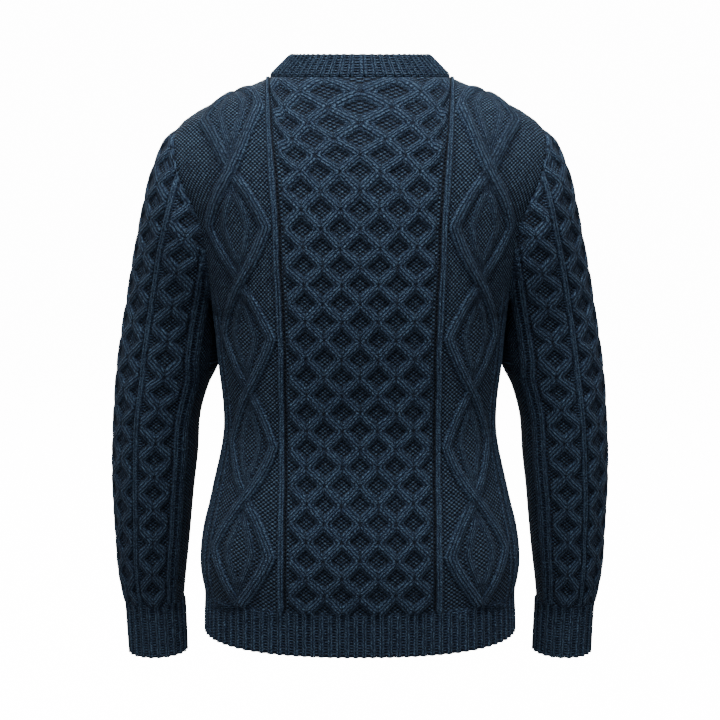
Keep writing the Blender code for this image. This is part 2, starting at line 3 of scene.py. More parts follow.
import bpy
import numpy as np
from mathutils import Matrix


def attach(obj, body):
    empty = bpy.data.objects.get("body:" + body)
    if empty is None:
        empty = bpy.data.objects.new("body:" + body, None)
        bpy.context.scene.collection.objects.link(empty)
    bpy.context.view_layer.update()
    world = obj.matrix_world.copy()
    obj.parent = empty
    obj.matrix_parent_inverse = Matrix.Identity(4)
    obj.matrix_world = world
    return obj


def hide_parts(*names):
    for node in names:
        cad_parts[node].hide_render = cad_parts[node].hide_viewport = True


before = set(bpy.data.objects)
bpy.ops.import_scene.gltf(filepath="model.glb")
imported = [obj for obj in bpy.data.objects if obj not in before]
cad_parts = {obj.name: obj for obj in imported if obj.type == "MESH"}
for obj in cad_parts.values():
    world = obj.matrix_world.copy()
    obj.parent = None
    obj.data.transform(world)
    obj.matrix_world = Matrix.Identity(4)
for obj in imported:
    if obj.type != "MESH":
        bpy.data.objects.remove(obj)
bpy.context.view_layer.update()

# Aran sweater: five knitted pieces in heathered navy wool, seen from behind.
# The knitting is worked out in millimetres, and the scene is in metres.
# +X is the sweater's left sleeve, +Y its back, and z = 0 the neckband's seam.

mm = 0.001
print("frame loaded:", sorted(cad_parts))

cloth = {
    "wall": 2.2,   # thickness of the plain knitting
    "seamGap": 0.3,
    "seamFade": 5.0,   # how far from a seam the cables flatten out
    "topFade": 10.0,   # the same, along the neck and shoulder seams
    "strand": 3.6,   # heights over the plain knitting
    "crossing": 4.2,
    "raisedLine": 3.0,
    "rib": 2.4,
    "ring": 2.4,
    "sideRib": 2.0,
    "dome": 1.3,   # how far the middle of a diamond swells
    "under": 1.2,   # how far the lower strand of a crossing goes down
    "seamDeep": 1.3,
    "grooveDeep": 1.0,
    "ropeDeep": 0.28,   # share of a rope's height
    "stitchHigh": 3.3,
    "mossWide": 2.9,
    "mossHigh": 2.3,
    "unevenness": 0.3,
    "wander": 1.0,   # how far the strands stray sideways
    "wanderPace": (1.3, 0.9),   # how fast that changes across and up the knitting
    "wanderUp": 1.3,   # how far they stray up, for each millimetre sideways
    "wanderFrom": 20.0,   # how far from a panel's middle it is full
}

knitting = {
    "cell": 41.0,   # one honeycomb cell, up the knitting
    "diamond": 123.0,   # one diamond
    "hemPitch": 10.3,
    "cuffPitch": 9.6,
    "bandPitch": 9.5,
    "ribHalf": 0.62,   # share of half a pitch
    "lineAt": 86.0,   # across half a body panel, from its middle
    "lineTwin": 1.7,   # each of the two strands of a raised line, from the line's middle
    "lineHalf": 1.8,
    "grooveAt": 82.0,
    "grooveHalf": 1.5,
    "panelEdge": 222.0,
    "cells": 4.0,   # honeycomb cells from the middle to the raised line
    "strandStep": 19.3,
    "strandHalf": 6.5,
    "seamHalf": 1.3,
    "seamReach": 5.5,
    "diamondAt": 131.0,
    "diamondHalf": 34.0,
    "diamondRound": 0.4,   # 0 for straight sides, 1 for wavy ones
    "diamondStrand": 6.6,
    "crossingNear": (4.0, 11.0),   # a diamond's strands cross within the first, part at the second
    "ringFrom": 13.0,
    "ringShare": 0.72,
    "ringHalf": 4.2,
    "ringRise": 4.0,   # how far from its points the small diamond is fully raised
    "ropeAt": 187.0,
    "ropeHalf": 5.6,
    "ropeTurn": 13.0,   # height of one turn of a rope, and how wide its slant is
    "ropeSlant": 9.0,
    "sideRibs": (173.5, 201.0, 208.0, 215.0),
    "sideRibHalf": 3.0,
    "sideStarts": (90.0, 120.0),   # where the ropes and side ribs start, down the knitting
    "lineColumns": (81.0, 91.0),   # places that always have a column of points
    "sideColumns": (181.0, 193.0, 203.5, 212.5),
    "columns": (66, 5, 10, 10, 11, 11, 11, 11, 10, 12, 8, 6, 5),   # between those places
    "insideColumns": 33,
}

body = {
    "tip": -57.0,   # levels down from the neckband's seam
    "yoke": -102.0,
    "rib": -592.0,
    "hem": -643.0,
    "power": 2.35,   # how square the oval sections are
    "yokeRows": 6,
    "bodyRows": 24,
    "armpitRow": 8,
    "rowStep": 2.5,
    "yokeLines": 42,   # rows of points in the yoke
    "yokePower": 2.2,   # how fast those rows thin out towards the shoulder seam
    "insideEvery": 4,   # the inside keeps one row of points in so many
    "insideYokeEvery": 3,
    "hemEase": (-608.0, -592.0),   # where the columns change from ribs to strands
    "hemMix": (-595.0, -591.0),   # where the ribs end and the cables start
    "neckHalf": 102.0,
    "frontNeckDrop": 75.0,
    "frontNeckPower": 1.6,
    "armholeBack": 58.0,
    "armholeFront": 54.0,
}
body["armpit"] = body["yoke"] + (body["rib"] - body["yoke"]) * body["armpitRow"] / body["bodyRows"]

# level: half width of the body below the armpit
bodyWidth = {
    body["armpit"]: 168.0, -290: 165.2, -325: 162.3, -349: 159.5, -373: 157.0, -397: 156.5,
    -420: 159.0, -444: 164.0, -469: 170.0, -493: 175.5, -517: 181.5, -541: 185.2, -562: 186.0,
    -580: 184.0, -596: 180.8, -620: 181.5, -643: 182.0,
}
# level: depth of the back and of the front
bodyDepth = {
    12: (39.0, 30.0), 0: (47.0, 38.0), -18: (57.0, 50.0), -35: (66.0, 60.0), -57: (77.0, 71.0),
    -80: (87.0, 82.0), -102: (94.0, 90.0), -141: (103.0, 100.0), -182: (108.0, 106.5),
    -223: (110.5, 110.0), -264: (111.5, 111.0), -305: (110.0, 110.0), -350: (106.5, 107.0),
    -397: (105.0, 106.0), -440: (109.0, 108.0), -490: (117.0, 112.0), -541: (122.5, 116.0),
    -592: (121.0, 115.0), -643: (122.0, 116.0),
}
# distance from the middle: height of the shoulder seam
shoulderLine = {82: 12.0, 102: 0.0, 124: -9.5, 155: -23.0, 182: -37.0, 199: -48.5, 207: -57.0}
# level: distance of the armhole seam from the middle
armholeLine = {
    -57: 207.0, -72: 208.0, -91: 206.0, -105: 202.5, -119: 197.5, -135: 189.5, -161: 178.0,
    -196: 172.0, -230: 169.5, body["armpit"]: 168.0,
}
# level: distance of the raised line from the middle
lineWidth = {
    -102: 97.0, -141: 94.5, -187: 92.0, -242: 90.0, -298: 88.5, -354: 87.5, -410: 87.5,
    -468: 88.0, -526: 89.0, -592: 89.5,
}


# Smooth and straight lines through the tables

def smoothLine(table, at, column=None):
    places = np.array(sorted(table), float)
    values = np.array([table[k] if column is None else table[k][column] for k in sorted(table)], float)
    last = len(places) - 1
    low = np.maximum(np.arange(last + 1) - 1, 0)
    high = np.minimum(np.arange(last + 1) + 1, last)
    slopes = (values[high] - values[low]) / (places[high] - places[low])
    at = np.clip(at, places[0], places[-1])
    i = np.clip(np.searchsorted(places, at) - 1, 0, last - 1)
    span = places[i + 1] - places[i]
    t = (at - places[i]) / span
    return ((1 + 2 * t) * (1 - t) ** 2 * values[i] + t * (1 - t) ** 2 * span * slopes[i]
            + t * t * (3 - 2 * t) * values[i + 1] + t * t * (t - 1) * span * slopes[i + 1])


def straightLine(table, at):
    places = sorted(table)
    return np.interp(at, places, [table[k] for k in places])


def wave(distance, period):   # 1 at each whole period, -1 half way
    return np.abs(4.0 * ((distance / period) % 1.0) - 2.0) - 1.0


def easedWave(distance, period):   # the same, but rounded at both ends
    return np.sin(0.5 * math.pi * wave(distance, period))


def slopeOf(line, place):   # how far a line moves sideways for each millimetre up
    return line(place + 0.5) - line(place - 0.5)


def rounded(distance, half):   # the rounded section of a strand, from 0 to 1
    return (1.0 - np.clip(np.abs(distance) / half, 0.0, 1.0) ** 2.6) ** 0.55


def unit(vectors):
    return vectors / np.linalg.norm(vectors, axis=-1, keepdims=True)


def easeIn(value, low, high):
    t = np.clip((value - low) / (high - low), 0.0, 1.0)
    return t * t * (3.0 - 2.0 * t)


# The body's form, as in the CAD solids

def bodyDepthAt(side, z):
    return smoothLine(bodyDepth, z, 0 if side > 0 else 1)


def armholeDepth(side, z):
    middle = 0.5 * (body["tip"] + body["armpit"])
    half = 0.5 * (body["tip"] - body["armpit"])
    reach = body["armholeBack"] if side > 0 else body["armholeFront"]
    return reach * np.sqrt(np.maximum(0.0, 1.0 - ((z - middle) / half) ** 2))


def edgeX(z):
    shoulder = {level: x for x, level in shoulderLine.items()}
    upper = np.where(z > body["tip"], straightLine(shoulder, z), smoothLine(armholeLine, z))
    return np.where(z > body["armpit"], upper, smoothLine(bodyWidth, z))


def sectionHalf(side, z):
    share = np.clip(armholeDepth(side, z) / bodyDepthAt(side, z), 0.0, 0.999)
    wide = edgeX(z) / (1.0 - share ** body["power"]) ** (1.0 / body["power"])
    return np.where((z < body["tip"]) & (z > body["armpit"]), wide, edgeX(z))


def bodyPoint(side, x, z):
    share = np.minimum(np.abs(x) / sectionHalf(side, z), 1.0)
    y = bodyDepthAt(side, z) * (1.0 - share ** body["power"]) ** (1.0 / body["power"])
    return np.stack([x, side * np.maximum(y, 0.5 * cloth["seamGap"]), z], axis=-1)


def bodyNormal(side, points):
    def field(x, y, z):
        across = (np.abs(x) / sectionHalf(side, z)) ** body["power"]
        return across + (np.abs(y) / bodyDepthAt(side, z)) ** body["power"]

    step = 0.5
    x, y, z = points[..., 0], points[..., 1], points[..., 2]
    y = np.where(np.abs(y) > step, y, 0.0)
    slope = np.stack([
        field(x + step, y, z) - field(x - step, y, z),
        field(x, y + step, z) - field(x, y - step, z),
        field(x, y, z + step) - field(x, y, z - step),
    ], axis=-1)
    return unit(slope)


def pastLine(flats):   # 0 at the raised line and 1 at the panel's edge
    return (flats - knitting["lineAt"]) / (knitting["panelEdge"] - knitting["lineAt"])


def placeAcross(side, z, flats):   # the x of places in the flat layout, at one level
    half = float(sectionHalf(side, z))
    share = min(float(edgeX(z)) / half, 1.0)
    turns = np.linspace(0.0, math.asin(share ** (0.5 * body["power"])), 61)
    xs = half * np.sin(turns) ** (2 / body["power"])
    ys = float(bodyDepthAt(side, z)) * np.maximum(np.cos(turns), 0.0) ** (2 / body["power"])
    lengths = np.concatenate([[0.0], np.cumsum(np.hypot(np.diff(xs), np.diff(ys)))])
    atLine = float(straightLine(lineWidth, z))
    lineAt = knitting["lineAt"]
    outside = atLine + pastLine(flats) * (lengths[-1] - atLine)
    along = np.where(flats <= lineAt, flats * atLine / lineAt, outside)
    return np.interp(along, lengths, xs)


def topPlace(side, flats):   # where places in the flat layout meet the neck or shoulder seam
    turn = 0.5 * math.pi * np.clip(flats / knitting["lineAt"], 0.0, 1.0)
    if side > 0:
        neckX = body["neckHalf"] * np.sin(turn) ** (2 / body["power"])
        neckZ = 0.0 * flats
    else:
        neckX = body["neckHalf"] * np.sin(turn) ** (2 / body["frontNeckPower"])
        neckZ = -body["frontNeckDrop"] * np.maximum(np.cos(turn), 0.0) ** (2 / body["frontNeckPower"])
    shoulderX = body["neckHalf"] + pastLine(flats) * (float(edgeX(body["tip"])) - body["neckHalf"])
    under = flats <= knitting["lineAt"]
    z = np.where(under, neckZ, straightLine(shoulderLine, shoulderX))
    return np.where(under, neckX, shoulderX), z


def yokeBlend(flats):   # 0 under the neck, 1 under the shoulder seam
    return np.clip((flats - 0.75 * knitting["lineAt"]) / (0.5 * knitting["lineAt"]), 0.0, 1.0)


def yokePlace(side, flats, row):
    startX = placeAcross(side, body["yoke"], flats)
    endX, endZ = topPlace(side, flats)
    even = row / body["yokeRows"]
    blend = yokeBlend(flats)
    share = (1.0 - blend) * even + blend * (1.0 - (1.0 - even) ** body["yokePower"])
    z = body["yoke"] + share * (endZ - body["yoke"])
    x = startX + share * (endX - startX)
    straight = float(edgeX(body["yoke"]))
    straight = straight + share * (float(edgeX(body["tip"])) - straight)
    weight = np.maximum(0.0, pastLine(flats)) ** 3
    x = np.where(z < body["tip"], x + weight * (edgeX(z) - straight), x)
    return np.minimum(x, edgeX(z)), z


# Columns keep to the strands, so that a strand's rounded section is always well drawn.
# spans: for each stretch between two named places, how many columns it gets.

def spreadColumns(places, spans):
    which = np.concatenate([np.full(count, k) for k, count in enumerate(spans)] + [[len(spans) - 1]])
    share = np.concatenate([np.arange(count) / count for count in spans] + [[1.0]])
    column = np.arange(len(which))
    low = places[which, :, column]
    high = places[which + 1, :, column]
    return (low + share[:, None] * (high - low)).T


def panelPlaces(knit):   # named places across half a panel, sorted, for each place up the knitting
    middle = knitting["diamondAt"] + 0.0 * knit
    reach = np.abs(diamondReach(knit))
    strand = knitting["diamondStrand"]
    outer = np.maximum(reach + strand, strand + 3.0)
    inner = np.maximum(reach - strand, 1.0)
    honeycombEdge = knitting["cells"] * knitting["strandStep"]
    places = [at + 0.0 * knit for at in (0.0, honeycombEdge, *knitting["lineColumns"])]
    places += [middle - outer, middle - inner, middle, middle + inner, middle + outer]
    places += [at + 0.0 * knit for at in (*knitting["sideColumns"], knitting["panelEdge"])]
    return np.maximum.accumulate(np.array(places), axis=0)


def diamondReach(knit):   # how far a diamond's strand is from diamondAt, to either side
    period = 2.0 * knitting["diamond"]
    place = knit + knitting["cell"] - 0.25 * period
    curved = knitting["diamondRound"]
    sides = (1.0 - curved) * wave(place, period) + curved * easedWave(place, period)
    return knitting["diamondHalf"] * sides


def ringReach(knit):   # the small diamond inside each diamond
    reach = diamondReach(knit)
    return np.sign(reach) * np.maximum(np.abs(reach) - knitting["ringFrom"], 0.0) * knitting["ringShare"]


# Each relief gives the height, the place across a strand in stitches, and how much of a
# raised strand, a purled ladder and a groove there is.

def emptyRelief(like):
    return {key: np.zeros_like(like) for key in ("height", "across", "strand", "ladder", "groove")}


def addStrand(relief, distance, half, height, stitches=2.0, offset=0.0, slope=0.0):
    distance = distance / np.sqrt(1.0 + slope * slope)   # square across a slanting strand
    section = rounded(distance, half)
    raised = section * height
    wins = raised > relief["height"]
    relief["height"] = np.where(wins, raised, relief["height"])
    relief["across"] = np.where(wins, distance / (2.0 * half) * stitches + offset, relief["across"])
    relief["strand"] = np.where(wins, np.minimum(1.0, 1.6 * section), relief["strand"])


def addHoneycomb(relief, place, knit, step, half, within):
    # slanting strands of both hands, which cross at place 0 a half cell away from knit 0
    slope = step / (0.5 * knitting["cell"])
    inside = 1.0 - easeIn(np.abs(place), within - 1.0, within + 0.6)
    one, other = ((place + hand * slope * knit) % (2.0 * step) - step for hand in (-1.0, 1.0))
    for distance in (one, other):
        addStrand(relief, distance, half, cloth["strand"] * inside, slope=slope)
    # where two strands touch, a short seam runs up between them
    beside = 0.5 * (one + other) / knitting["seamHalf"]
    along = 0.5 * (one - other) / slope / knitting["seamReach"]
    seam = np.exp(-beside ** 2 - along ** 2) * inside
    relief["height"] = relief["height"] - cloth["seamDeep"] * seam
    relief["groove"] = np.maximum(relief["groove"], 0.5 * seam)


def bodyRelief(flat, knit):
    relief = emptyRelief(flat)
    step = knitting["strandStep"]
    addHoneycomb(relief, flat, knit, step, knitting["strandHalf"], knitting["cells"] * step)
    for offset in (-knitting["lineTwin"], knitting["lineTwin"]):
        beside = flat - knitting["lineAt"] - offset
        addStrand(relief, beside, knitting["lineHalf"], cloth["raisedLine"], 0.5, 0.25)
    reach = diamondReach(knit)
    order = np.sign(wave(knit + knitting["cell"], 2.0 * knitting["diamond"]))
    near = 1.0 - easeIn(np.abs(reach), *knitting["crossingNear"])
    slant = slopeOf(diamondReach, knit)
    ringSlant = slopeOf(ringReach, knit)
    over = cloth["crossing"] - cloth["strand"]
    for hand in (-1.0, 1.0):
        height = cloth["strand"] + near * np.where(order * hand > 0, over, -cloth["under"])
        distance = flat - knitting["diamondAt"] - hand * reach
        addStrand(relief, distance, knitting["diamondStrand"], height, slope=slant)
        ring = easeIn(np.abs(ringReach(knit)), 0.0, knitting["ringRise"]) * cloth["ring"]
        distance = flat - knitting["diamondAt"] - hand * ringReach(knit)
        addStrand(relief, distance, knitting["ringHalf"], ring + 0.001, slope=ringSlant)
    share = np.abs(flat - knitting["diamondAt"]) / np.maximum(np.abs(reach), 1.0)
    dome = cloth["dome"] * (1.0 - np.clip(share, 0.0, 1.0) ** 2) * (1.0 - near)
    relief["height"] = np.maximum(relief["height"], dome)
    below = easeIn(knit, *knitting["sideStarts"])
    rope = flat - knitting["ropeAt"]
    addStrand(relief, rope, knitting["ropeHalf"], below * cloth["raisedLine"] * ropeTwist(rope, knit))
    for at in knitting["sideRibs"]:
        addStrand(relief, flat - at, knitting["sideRibHalf"], below * cloth["sideRib"], 1.0, 0.5)
    groove = np.exp(-((flat - knitting["grooveAt"]) / knitting["grooveHalf"]) ** 2)
    relief["groove"] = np.maximum(relief["groove"], groove)
    relief["height"] = relief["height"] - cloth["grooveDeep"] * groove
    return relief


def ropeTwist(across, knit):   # the turns of a rope cable
    turns = knit / knitting["ropeTurn"] + across / knitting["ropeSlant"]
    return 1.0 - cloth["ropeDeep"] + cloth["ropeDeep"] * np.abs(np.cos(math.pi * turns))


def ribRelief(place):   # place counts half pitches: a rib stands at each odd number
    relief = emptyRelief(place)
    distance = (place % 2.0) - 1.0
    addStrand(relief, distance, knitting["ribHalf"], cloth["rib"], 1.0, 0.5)
    relief["ladder"] = 1.0 - relief["strand"]
    return relief


def mixRelief(one, other, share):
    return {key: one[key] * (1.0 - share) + other[key] * share for key in one}


def uneven(u, v, seed):   # slow hand-made unevenness, from -1 to 1
    total = 0.0 * u
    for k, (a, b) in enumerate(((0.031, 0.017), (-0.023, 0.041), (0.083, -0.052), (0.061, 0.097))):
        total = total + np.sin(a * u + b * v + seed * (1.7 + k) + 0.9 * k)
    return 0.25 * total


def strayed(place, knit, seed):   # how far the strands stray sideways at each place
    across, up = cloth["wanderPace"]
    return cloth["wander"] * uneven(across * place, up * knit, seed + 5.0)


def softened(values, reach):   # a running mean down the rows and across the columns
    for axis in (0, 1):
        kernel = np.ones(2 * reach + 1) / (2 * reach + 1)
        padded = np.apply_along_axis(lambda r: np.pad(r, reach, mode="edge"), axis, values)
        values = np.apply_along_axis(lambda r: np.convolve(r, kernel, mode="valid"), axis, padded)
    return values


def raisedPoints(ground, normals, relief, fade, across, up, seed):   # the outer points of the cloth
    height = relief["height"] + cloth["unevenness"] * uneven(across, up, seed)
    return ground + normals * (height * fade)[..., None]


def lengthUp(points):   # distance up each column of points
    steps = np.linalg.norm(np.diff(points, axis=0), axis=-1)
    return np.concatenate([np.zeros((1, points.shape[1])), np.cumsum(steps, axis=0)])


# One closed shell from an outer and an inner grid of points

def zipChains(first, second, points):
    faces = []
    i, j = 0, 0
    while i < len(first) - 1 or j < len(second) - 1:
        stepFirst = j == len(second) - 1
        if i < len(first) - 1 and j < len(second) - 1:
            ahead = np.sum((points[first[i + 1]] - points[second[j]]) ** 2)
            stepFirst = ahead <= np.sum((points[first[i]] - points[second[j + 1]]) ** 2)
        if stepFirst:
            faces.append((first[i], first[i + 1], second[j]))
            i += 1
        else:
            faces.append((first[i], second[j + 1], second[j]))
            j += 1
    return faces


def gridFaces(rows, columns, start, closed):
    index = start + np.arange(rows * columns).reshape(rows, columns)
    if closed:
        index = np.concatenate([index, index[:, :1]], axis=1)
    quads = np.stack([index[:-1, :-1], index[:-1, 1:], index[1:, 1:], index[1:, :-1]], axis=-1)
    return index, quads.reshape(-1, 4)


def insideOut(points, faces):   # a shell whose faces point inward has less than no volume
    quads = np.array([(*face, face[2])[:4] if len(face) == 3 else face for face in faces])
    a, b, c, d = (points[quads[:, k]] for k in range(4))
    return float(np.sum(np.cross(a, b) * c) + np.sum(np.cross(a, c) * d)) < 0.0


def addObject(name, data):
    added = bpy.data.objects.new(name, data)
    bpy.context.scene.collection.objects.link(added)
    return added


def makeShell(name, outer, inner, facts, closed):
    rows, columns = outer.shape[:2]
    points = np.concatenate([outer.reshape(-1, 3), inner.reshape(-1, 3)])
    outerIndex, outerQuads = gridFaces(rows, columns, 0, closed)
    innerIndex, innerQuads = gridFaces(*inner.shape[:2], rows * columns, closed)
    innerQuads = innerQuads[:, ::-1]
    rims = zipChains(list(innerIndex[0]), list(outerIndex[0]), points)
    rims += zipChains(list(outerIndex[-1]), list(innerIndex[-1]), points)
    if not closed:
        rims += zipChains(list(outerIndex[:, 0]), list(innerIndex[:, 0]), points)
        rims += zipChains(list(innerIndex[:, -1]), list(outerIndex[:, -1]), points)
    faces = [tuple(face) for face in np.concatenate([outerQuads, innerQuads]).tolist()] + rims
    if insideOut(points, faces):
        faces = [face[::-1] for face in faces]
    mesh = bpy.data.meshes.new(name)
    mesh.from_pydata((points * mm).tolist(), [], faces)
    mesh.shade_smooth()
    for key in ("stitch", "ground", "kind"):
        values = np.zeros((len(points), 3), np.float32)
        values[:rows * columns] = facts[key].reshape(-1, 3)
        values[rows * columns:] = facts[key + "Inside"].reshape(-1, 3)
        layer = mesh.attributes.new(key, "FLOAT_VECTOR", "POINT")
        layer.data.foreach_set("vector", values.ravel())
    return addObject(name, mesh)


# how much painted shade the recesses get: rows looked over, depth in millimetres, and shares
shade = {"reach": 4, "depth": 2.6, "least": 0.12, "groove": 1.6, "most": 1.6, "inside": 0.2}


def knitFacts(relief, up, ground, inside):
    # stitch: place across in stitches, rows up; ground: place across and up in millimetres
    # kind: how much of a raised strand and of a purled ladder, and the painted shade that the relief's
    # recesses and grooves get
    height = relief["height"]
    # painted shade: darker where a point lies below the mean height of the rows around it, and more in
    # the grooves
    recessShade = (softened(height, shade["reach"]) - height) / shade["depth"] + shade["least"]
    recessShade = np.clip(recessShade + shade["groove"] * relief["groove"], 0.0, shade["most"])
    insideAcross, insideUp = inside
    flat = 0.0 * insideAcross
    return {
        "stitch": np.stack([relief["across"], up / cloth["stitchHigh"], 0.0 * up], axis=-1),
        "ground": np.stack([*ground, 0.0 * up], axis=-1),
        "kind": np.stack([relief["strand"], np.clip(relief["ladder"], 0.0, 1.0), recessShade], axis=-1),
        "stitchInside": np.stack([flat, insideUp / cloth["stitchHigh"], flat], axis=-1),
        "groundInside": np.stack([insideAcross, insideUp, flat], axis=-1),
        "kindInside": np.stack([flat, flat + 1.0, flat + shade["inside"]], axis=-1),
    }


# Body panels

def yokeKnit(side, flats, row):
    byRow = -knitting["cell"] - 0.5 * knitting["cell"] * row
    if side > 0:
        return byRow + 0.0 * flats
    byLevel = -knitting["cell"] - (yokePlace(side, flats, row)[1] - body["yoke"]) * 1.1
    blend = yokeBlend(flats)
    return (1.0 - blend) * byLevel + blend * byRow


def panelRows():   # levels up the hem and the body, then rows of the yoke
    ribRows = int(round((body["rib"] - body["hem"]) / body["rowStep"]))
    bodyRows = int(round((body["yoke"] - body["rib"]) / body["rowStep"]))
    levels = np.concatenate([
        np.linspace(body["hem"], body["rib"], ribRows, endpoint=False),
        np.linspace(body["rib"], body["yoke"], bodyRows, endpoint=False),
    ])
    return levels, np.linspace(0.0, body["yokeRows"], body["yokeLines"])


def halfPanel(side, dense):   # x, z, flat place and place up the knitting of each point
    levels, yokeRows = panelRows()
    edge = knitting["panelEdge"]
    if not dense:
        levels = levels[::body["insideEvery"]]
        yokeRows = np.append(yokeRows[:-1:body["insideYokeEvery"]], yokeRows[-1])
    rows = len(levels) + len(yokeRows)
    spans = knitting["columns"]
    columns = sum(spans) + 1 if dense else knitting["insideColumns"]
    even = np.tile(np.linspace(0.0, edge, columns), (rows, 1))
    knit = np.zeros((rows, columns))
    gauge = body["bodyRows"] * 0.5 * knitting["cell"] / (body["yoke"] - body["rib"])
    knit[:len(levels)] = (-knitting["cell"] + (body["yoke"] - levels) * gauge)[:, None]
    flat = even
    if dense:
        start = spreadColumns(panelPlaces(np.full((1, columns), -knitting["cell"])), spans)[0]
        for k, row in enumerate(yokeRows):
            knit[len(levels) + k] = yokeKnit(side, start, row)
        flat = spreadColumns(panelPlaces(knit), spans)
        share = np.ones(rows)
        share[:len(levels)] = easeIn(levels, *body["hemEase"])
        flat = even + share[:, None] * (flat - even)
    x = np.zeros_like(flat)
    z = np.zeros_like(flat)
    for k, level in enumerate(levels):
        x[k] = placeAcross(side, level, flat[k])
        z[k] = level
    for k, row in enumerate(yokeRows):
        x[len(levels) + k], z[len(levels) + k] = yokePlace(side, flat[k + len(levels)], row)
    return x, z, flat, knit


def bothHalves(half, odd=False):
    mirrored = -half[:, :0:-1] if odd else half[:, :0:-1]
    return np.concatenate([mirrored, half], axis=1)


def panelGrid(side, dense):   # the ground points and the directions out of the cloth
    x, z, flat, knit = halfPanel(side, dense)
    points = bodyPoint(side, x, z)
    normals = bodyNormal(side, points)
    turned = np.array([-1.0, 1.0, 1.0])
    points = np.concatenate([points[:, :0:-1] * turned, points], axis=1)
    normals = np.concatenate([normals[:, :0:-1] * turned, normals], axis=1)
    return points, normals, flat, knit, z


def lengthAcross(side, z, start):   # along the cloth from a flat place to the panel's edge
    xs = placeAcross(side, z, np.linspace(start, knitting["panelEdge"], 80))
    return float(lengthUp(bodyPoint(side, xs, np.full(80, z))[:, None])[-1, 0])


def patternPlace(side, flat):   # above the armpit, the armhole cuts the pattern off
    levels, yokeRows = panelRows()
    line = knitting["lineAt"]
    full = lengthAcross(side, body["armpit"], line)
    widths = [lengthAcross(side, z, line) if z > body["armpit"] else full for z in levels]
    first = lengthAcross(side, body["yoke"], line)
    last = math.hypot(float(edgeX(body["tip"])) - body["neckHalf"], body["tip"])
    widths += list(first + (last - first) * yokeRows / body["yokeRows"])
    outside = np.maximum(flat - line, 0.0)
    return np.minimum(flat, line) + outside * (np.array(widths) / full)[:, None]


def straightUp(side, flat, z):   # up the cloth from the hem, whichever way the columns lean
    levels, yokeRows = panelRows()
    even = np.linspace(0.0, knitting["panelEdge"], 60)
    yoke = np.array([bodyPoint(side, *yokePlace(side, even, row)) for row in yokeRows])
    up = z - body["hem"]
    for k, length in enumerate(lengthUp(yoke), len(levels)):
        up[k] = body["yoke"] - body["hem"] + np.interp(flat[k], even, length)
    return up


def makePanel(name, side, seed):
    ground, normals, flat, knit, z = panelGrid(side, True)
    edge = knitting["panelEdge"]
    halfPitches = int(round(2.0 * lengthAcross(side, body["hem"], 0.0) / knitting["hemPitch"]))
    ribs = ribRelief(flat / edge * halfPitches)
    place = patternPlace(side, flat)
    wander = strayed(flat, knit, seed)
    sideways = wander * easeIn(place, 0.0, cloth["wanderFrom"])
    cables = bodyRelief(place + sideways, knit + cloth["wanderUp"] * wander)
    share = easeIn(z, *body["hemMix"])
    relief = {key: bothHalves(value) for key, value in mixRelief(ribs, cables, share).items()}
    up = lengthUp(ground)
    across = bothHalves(flat, odd=True)
    fade = easeIn(edge - np.abs(across), 0.0, cloth["seamFade"])
    fade = fade * easeIn(up[-1:] - up, 0.0, cloth["topFade"])
    outer = raisedPoints(ground, normals, relief, fade, across, up, seed)
    insideGround, insideNormals, insideFlat, _, _ = panelGrid(side, False)
    inner = insideGround - insideNormals * cloth["wall"]
    insideAcross = bothHalves(insideFlat, odd=True)
    mossUp = bothHalves(straightUp(side, flat, z))
    facts = knitFacts(relief, up, (across, mossUp), (insideAcross, lengthUp(insideGround)))
    return makeShell(name, outer, inner, facts, closed=False)


# Sleeves

# distance down the outer line: outer x and z, inner x and z, centre y, half depth
sleeveSections = {
    0: (207.0, -57.0, 168.0, body["armpit"], 2.0, 56.0), 10: (213.5, -64.5, 169.2, -259.0, 2.0, 57.2),
    21: (220.5, -73.0, 170.4, -256.0, 1.5, 58.5), 46: (231.0, -95.0, 171.2, -257.5, 0.5, 60.0),
    69: (239.0, -117.0, 170.8, -262.5, -2.0, 60.0), 103: (247.0, -150.0, 169.6, -272.5, -6.0, 59.5),
    139: (255.0, -185.0, 167.8, -284.0, -11.0, 58.5), 177: (263.0, -222.0, 165.4, -297.0, -16.0, 57.5),
    213: (269.5, -257.0, 164.2, -309.0, -20.0, 56.5), 248: (276.0, -292.0, 164.4, -322.0, -22.0, 55.5),
    282: (281.5, -325.0, 168.0, -337.0, -24.0, 54.5), 315: (285.5, -358.0, 178.5, -358.0, -26.0, 53.5),
    351: (288.5, -394.0, 188.5, -393.0, -28.0, 52.5), 398: (291.5, -441.0, 192.5, -439.0, -31.0, 51.0),
    447: (292.0, -490.0, 198.5, -488.0, -34.0, 48.5), 495: (290.5, -538.0, 203.5, -536.0, -36.5, 45.0),
    537: (289.0, -580.0, 208.5, -578.0, -38.5, 41.5), 562: (285.5, -605.0, 211.5, -603.0, -39.5, 38.0),
    580: (282.5, -622.0, 213.0, -621.0, -40.0, 35.5), 606: (281.0, -648.0, 212.5, -647.0, -41.0, 34.5),
    646: (279.5, -688.0, 211.5, -687.0, -42.0, 34.0),
}
